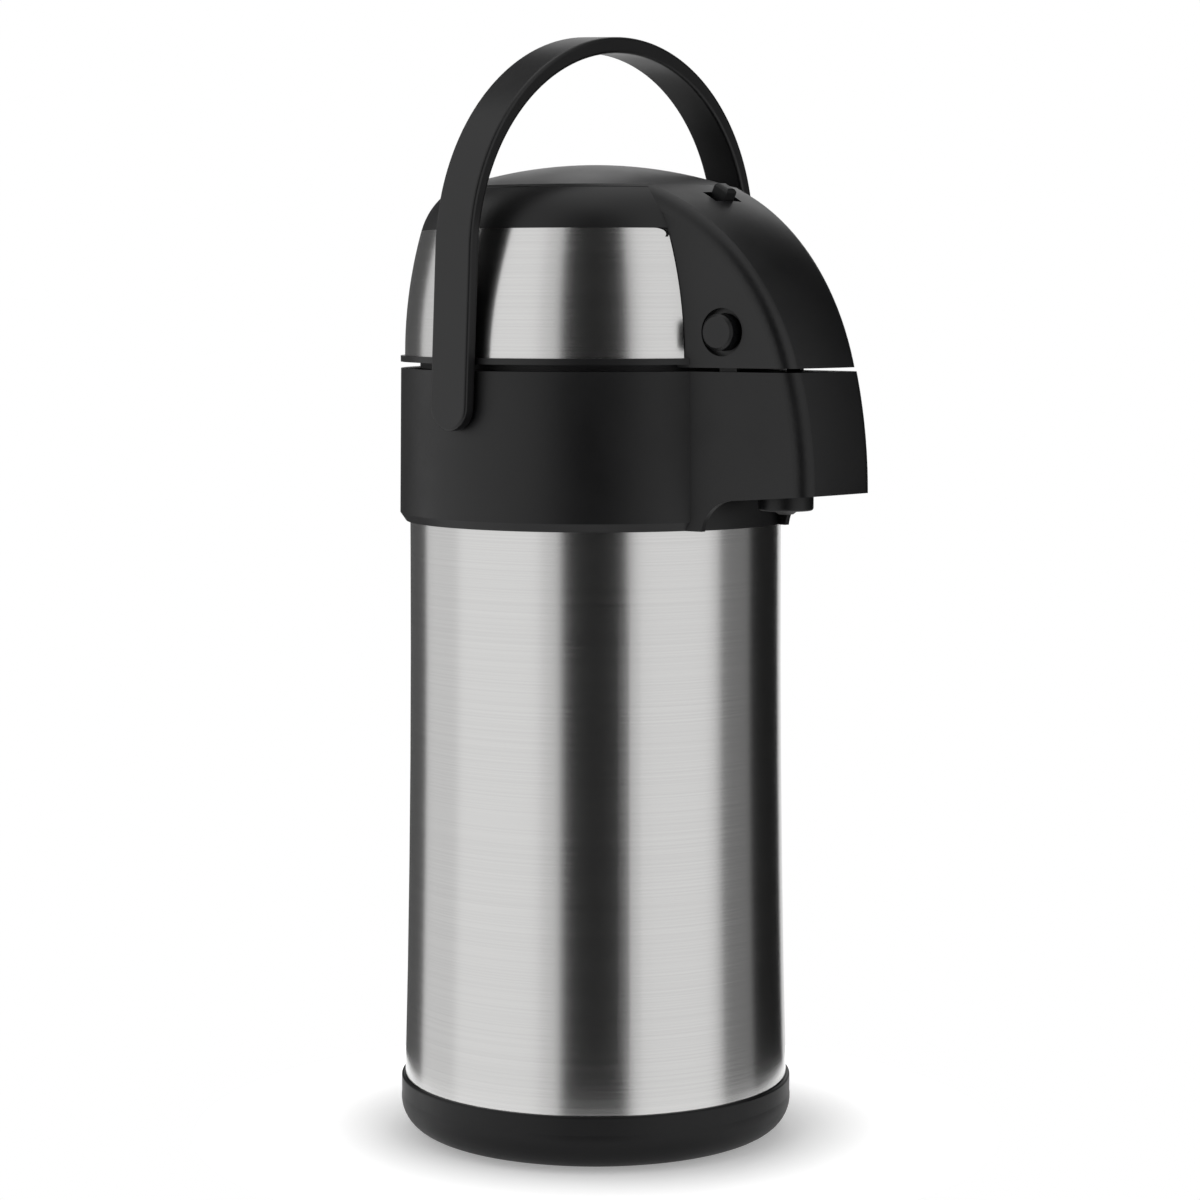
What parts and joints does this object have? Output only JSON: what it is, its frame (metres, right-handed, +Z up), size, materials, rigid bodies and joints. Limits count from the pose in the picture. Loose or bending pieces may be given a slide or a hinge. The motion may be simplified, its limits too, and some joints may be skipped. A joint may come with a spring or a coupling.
{
  "type": "airpot",
  "caption": "Pump vacuum jug: brushed steel body, hinged barrel lid with push plate and lock slider, spout nose, side release buttons and swinging carry handle.",
  "frame": {"origin": "on the jug's upright axis, at the surface that the foot ring stands on", "axes": "+Z up along the jug's axis; -Y towards the spout nose; +X to the side where the lid hinge and handle axes run"},
  "size_m": [0.1748, 0.2179, 0.4574],
  "materials": {
    "black_plastic": "satin moulded black",
    "casing_steel": "fine brushed",
    "flask_steel": "drawn and polished",
    "spring_steel": "drawn wire",
    "inner_plastic": "plain moulded",
    "seal_rubber": "soft moulded"
  },
  "bodies": {
    "jug": {"base_cup": "black_plastic", "foot_ring": "seal_rubber", "outer_casing": "casing_steel", "casing_bottom": "flask_steel", "flask_bottom": "flask_steel", "flask_body": "flask_steel", "flask_shoulder_dome": "flask_steel", "flask_neck": "flask_steel", "collar": "black_plastic", "shoulder_tray": "inner_plastic", "mouth_seal": "seal_rubber", "stopper": "inner_plastic", "stopper_seal": "seal_rubber", "dip_tube": "flask_steel", "spout_tube": "inner_plastic", "nozzle": "black_plastic", "drip_skirt": "black_plastic", "spout_cover": "black_plastic", "hinge_pin": "spring_steel", "handle_pin_left": "spring_steel", "handle_pin_right": "spring_steel"},
    "handle": {"carry_handle": "black_plastic"},
    "lid": {"lid_shell": "black_plastic", "lid_band": "casing_steel", "lid_base": "black_plastic", "lid_seal": "seal_rubber", "lid_screws": "spring_steel", "outlet_valve": "seal_rubber", "bellows": "seal_rubber", "bellows_clamp": "inner_plastic", "pump_spring": "spring_steel", "button_spring_left": "spring_steel", "button_spring_right": "spring_steel"},
    "pump": {"push_plate": "black_plastic", "pump_piston": "inner_plastic", "lock_catch": "inner_plastic"},
    "lock": {"lock_slider": "black_plastic"},
    "left_button": {"release_button_left": "black_plastic"},
    "right_button": {"release_button_right": "black_plastic"}
  },
  "joints": [
    {"name": "lid_hinge", "type": "hinge", "parent": "jug", "child": "lid", "pos_m": [0, 0.0834, 0.3228], "axis": [-1, 0, 0], "range_deg": [0, 75]},
    {"name": "handle_swing", "type": "hinge", "parent": "jug", "child": "handle", "pos_m": [0, 0, 0.3075], "axis": [-1, 0, 0], "range_deg": [0, 130]},
    {"name": "pump_press", "type": "slide", "parent": "lid", "child": "pump", "axis": [0, 0, -1], "range_m": [0, 0.02], "stiffness_N_per_m": 600, "springref_m": -0.006, "deforming": ["bellows", "pump_spring"]},
    {"name": "lock_slide", "type": "slide", "parent": "lid", "child": "lock", "axis": [1, 0, 0], "range_m": [-0.005, 0.005]},
    {"name": "release_left", "type": "slide", "parent": "lid", "child": "left_button", "axis": [0.9917, 0.1289, 0], "range_m": [0, 0.003], "stiffness_N_per_m": 400, "springref_m": -0.002, "deforming": ["button_spring_left"]},
    {"name": "release_right", "type": "slide", "parent": "lid", "child": "right_button", "axis": [-0.9917, 0.1289, 0], "range_m": [0, 0.003], "stiffness_N_per_m": 400, "springref_m": -0.002, "deforming": ["button_spring_right"]}
  ],
  "couplings": [
    {"joint": "handle_swing", "follows": "lid_hinge", "ratio": 1.72}
  ]
}
